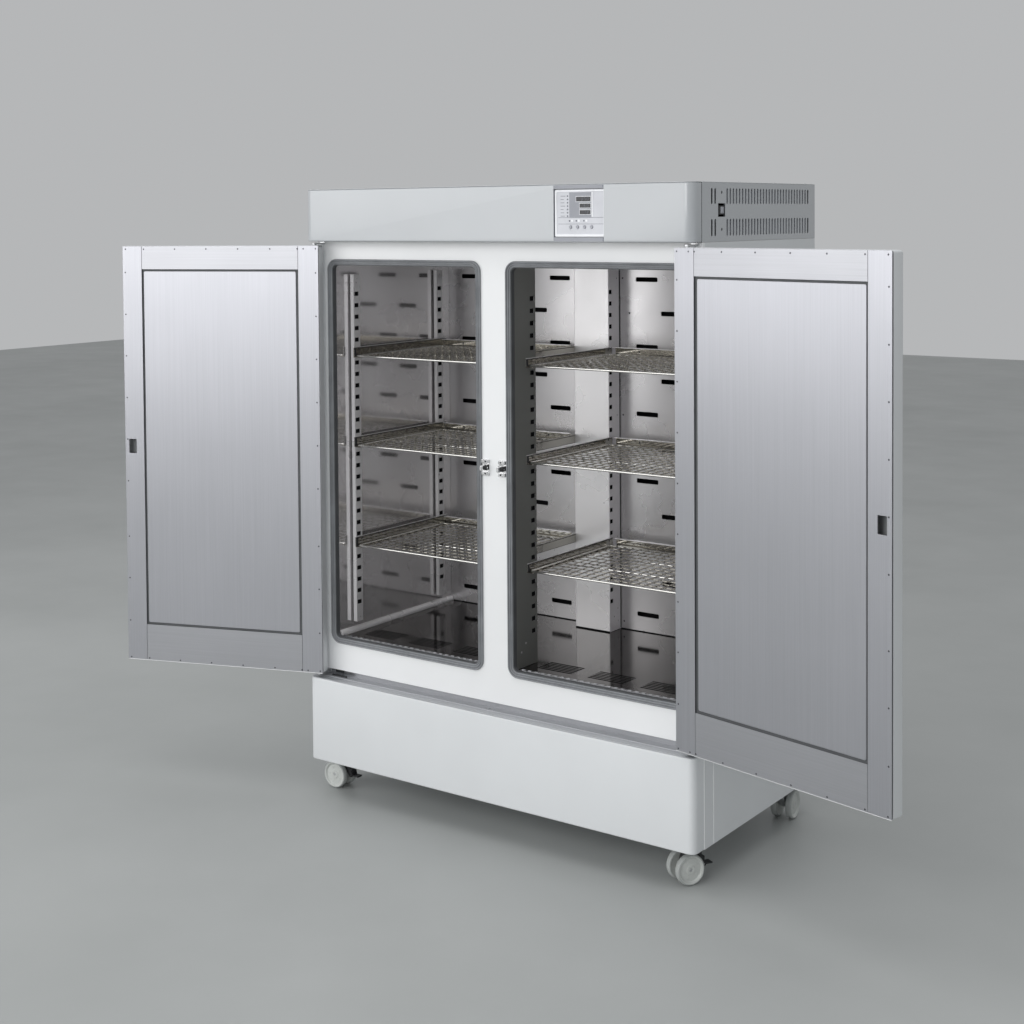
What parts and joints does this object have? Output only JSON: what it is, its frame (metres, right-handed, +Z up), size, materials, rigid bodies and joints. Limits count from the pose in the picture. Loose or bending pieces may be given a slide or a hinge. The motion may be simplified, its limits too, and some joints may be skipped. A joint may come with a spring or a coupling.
{
  "type": "laboratory incubator",
  "caption": "Free-standing double-door laboratory incubator on casters, with a steel chamber, wire shelves and a header for controls.",
  "frame": {"origin": "floor level, under the middle of the object's bounding box with both doors open", "axes": "+Z up, +X to the right of someone who faces the doors, +Y from the doors to the back"},
  "size_m": [2.2643, 0.8758, 1.678],
  "materials": {
    "casing": "satin powder coat",
    "sill_steel": "brushed",
    "panel": "printed membrane",
    "keys": "matt",
    "black_plastic": "matt",
    "chamber_steel": "mirror polished",
    "foam": "rigid foam",
    "rack_steel": "polished",
    "shelf_wire": "polished wire",
    "gasket": "matt",
    "bright_metal": "plated",
    "liner_steel": "brushed",
    "caster_metal": "zinc plated",
    "wheel_plastic": "matt"
  },
  "bodies": {
    "cabinet": {"base_front": "casing", "base_chassis": "casing", "side_panel_left": "casing", "side_panel_right": "casing", "rear_panel": "casing", "face_frame": "casing", "header_fascia": "casing", "header_roof": "casing", "header_vent_left": "casing", "header_vent_right": "casing", "ledge_sill": "sill_steel", "control_panel": "panel", "mains_inlet": "black_plastic", "chamber_wall_left": "chamber_steel", "chamber_wall_right": "chamber_steel", "chamber_ceiling": "chamber_steel", "chamber_floor": "chamber_steel", "chamber_back": "chamber_steel", "insulation": "foam", "rack_left": "rack_steel", "rack_right": "rack_steel", "rack_centre": "rack_steel", "gasket_left": "gasket", "gasket_right": "gasket", "hinge_lower_left": "bright_metal", "hinge_lower_right": "bright_metal", "hinge_upper_left": "bright_metal", "hinge_upper_right": "bright_metal", "keeper_left": "bright_metal", "keeper_right": "bright_metal"},
    "door_left": {"door_left_shell": "casing", "door_left_liner": "liner_steel", "door_left_handle_base": "bright_metal"},
    "door_right": {"door_right_shell": "casing", "door_right_liner": "liner_steel", "door_right_handle_base": "bright_metal"},
    "lever_left": {"door_left_handle_lever": "black_plastic"},
    "lever_right": {"door_right_handle_lever": "black_plastic"},
    "switch_rocker": {"mains_switch": "black_plastic"},
    "fan": {"fan_wheel": "black_plastic"},
    "shelf_left_low": {"shelf_left_low": "shelf_wire"},
    "shelf_left_middle": {"shelf_left_middle": "shelf_wire"},
    "shelf_left_high": {"shelf_left_high": "shelf_wire"},
    "shelf_right_low": {"shelf_right_low": "shelf_wire"},
    "shelf_right_middle": {"shelf_right_middle": "shelf_wire"},
    "shelf_right_high": {"shelf_right_high": "shelf_wire"},
    "key_1": {"key_1": "keys"},
    "key_2": {"key_2": "keys"},
    "key_3": {"key_3": "keys"},
    "key_4": {"key_4": "keys"},
    "fork_front_left": {"caster_front_left_fork": "caster_metal"},
    "wheels_front_left": {"caster_front_left_wheels": "wheel_plastic"},
    "fork_front_right": {"caster_front_right_fork": "caster_metal"},
    "wheels_front_right": {"caster_front_right_wheels": "wheel_plastic"},
    "fork_rear_left": {"caster_rear_left_fork": "caster_metal"},
    "wheels_rear_left": {"caster_rear_left_wheels": "wheel_plastic"},
    "fork_rear_right": {"caster_rear_right_fork": "caster_metal"},
    "wheels_rear_right": {"caster_rear_right_wheels": "wheel_plastic"},
    "pedal_front_left": {"caster_front_left_pedal": "black_plastic"},
    "pedal_front_right": {"caster_front_right_pedal": "black_plastic"}
  },
  "joints": [
    {"name": "door_left_swing", "type": "hinge", "parent": "cabinet", "child": "door_left", "pos_m": [-0.58699, -0.21745, 0.342], "axis": [0, 0, -1], "range_deg": [-160, 10]},
    {"name": "door_right_swing", "type": "hinge", "parent": "cabinet", "child": "door_right", "pos_m": [0.56901, -0.21745, 0.342], "axis": [0, 0, 1], "range_deg": [-167, 3]},
    {"name": "lever_left_pull", "type": "hinge", "parent": "door_left", "child": "lever_left", "pos_m": [-1.07988, -0.36024, 0.955], "axis": [0, 0, -1], "range_deg": [0, 25], "stiffness_Nm_per_rad": 2},
    {"name": "lever_right_pull", "type": "hinge", "parent": "door_right", "child": "lever_right", "pos_m": [1.07562, -0.29911, 0.955], "axis": [0, 0, 1], "range_deg": [0, 25], "stiffness_Nm_per_rad": 2},
    {"name": "shelf_left_low_slide", "type": "slide", "parent": "cabinet", "child": "shelf_left_low", "axis": [0, -1, 0], "range_m": [0, 0.3]},
    {"name": "shelf_left_middle_slide", "type": "slide", "parent": "cabinet", "child": "shelf_left_middle", "axis": [0, -1, 0], "range_m": [0, 0.3]},
    {"name": "shelf_left_high_slide", "type": "slide", "parent": "cabinet", "child": "shelf_left_high", "axis": [0, -1, 0], "range_m": [0, 0.3]},
    {"name": "shelf_right_low_slide", "type": "slide", "parent": "cabinet", "child": "shelf_right_low", "axis": [0, -1, 0], "range_m": [0, 0.3]},
    {"name": "shelf_right_middle_slide", "type": "slide", "parent": "cabinet", "child": "shelf_right_middle", "axis": [0, -1, 0], "range_m": [0, 0.3]},
    {"name": "shelf_right_high_slide", "type": "slide", "parent": "cabinet", "child": "shelf_right_high", "axis": [0, -1, 0], "range_m": [0, 0.3]},
    {"name": "key_1_press", "type": "slide", "parent": "cabinet", "child": "key_1", "axis": [0, 1, 0], "range_m": [0, 0.0015], "stiffness_N_per_m": 150},
    {"name": "key_2_press", "type": "slide", "parent": "cabinet", "child": "key_2", "axis": [0, 1, 0], "range_m": [0, 0.0015], "stiffness_N_per_m": 150},
    {"name": "key_3_press", "type": "slide", "parent": "cabinet", "child": "key_3", "axis": [0, 1, 0], "range_m": [0, 0.0015], "stiffness_N_per_m": 150},
    {"name": "key_4_press", "type": "slide", "parent": "cabinet", "child": "key_4", "axis": [0, 1, 0], "range_m": [0, 0.0015], "stiffness_N_per_m": 150},
    {"name": "mains_switch_rock", "type": "hinge", "parent": "cabinet", "child": "switch_rocker", "pos_m": [0.58401, -0.08895, 1.61], "axis": [0, 1, 0], "range_deg": [-8, 8]},
    {"name": "fan_spin", "type": "hinge", "parent": "cabinet", "child": "fan", "pos_m": [-0.00899, 0.37155, 1.08], "axis": [0, 1, 0], "continuous": true},
    {"name": "caster_front_left_swivel", "type": "hinge", "parent": "cabinet", "child": "fork_front_left", "pos_m": [-0.55699, -0.13645, 0.06], "axis": [0, 0, 1], "continuous": true},
    {"name": "caster_front_left_roll", "type": "hinge", "parent": "fork_front_left", "child": "wheels_front_left", "pos_m": [-0.58399, -0.13645, 0.0375], "axis": [0, 1, 0], "continuous": true},
    {"name": "caster_front_left_brake", "type": "hinge", "parent": "fork_front_left", "child": "pedal_front_left", "pos_m": [-0.53749, -0.13645, 0.039], "axis": [0, 1, 0], "range_deg": [0, 18]},
    {"name": "caster_front_right_swivel", "type": "hinge", "parent": "cabinet", "child": "fork_front_right", "pos_m": [0.53901, -0.13645, 0.06], "axis": [0, 0, 1], "continuous": true},
    {"name": "caster_front_right_roll", "type": "hinge", "parent": "fork_front_right", "child": "wheels_front_right", "pos_m": [0.52551, -0.15984, 0.0375], "axis": [-0.866, 0.5, 0], "continuous": true},
    {"name": "caster_front_right_brake", "type": "hinge", "parent": "fork_front_right", "child": "pedal_front_right", "pos_m": [0.54876, -0.11957, 0.039], "axis": [-0.866, 0.5, 0], "range_deg": [0, 18]},
    {"name": "caster_rear_left_swivel", "type": "hinge", "parent": "cabinet", "child": "fork_rear_left", "pos_m": [-0.55699, 0.34055, 0.06], "axis": [0, 0, 1], "continuous": true},
    {"name": "caster_rear_left_roll", "type": "hinge", "parent": "fork_rear_left", "child": "wheels_rear_left", "pos_m": [-0.56623, 0.36592, 0.0375], "axis": [0.9397, 0.342, 0], "continuous": true},
    {"name": "caster_rear_right_swivel", "type": "hinge", "parent": "cabinet", "child": "fork_rear_right", "pos_m": [0.53901, 0.34055, 0.06], "axis": [0, 0, 1], "continuous": true},
    {"name": "caster_rear_right_roll", "type": "hinge", "parent": "fork_rear_right", "child": "wheels_rear_right", "pos_m": [0.53665, 0.36745, 0.0375], "axis": [0.9962, 0.0872, 0], "continuous": true}
  ]
}
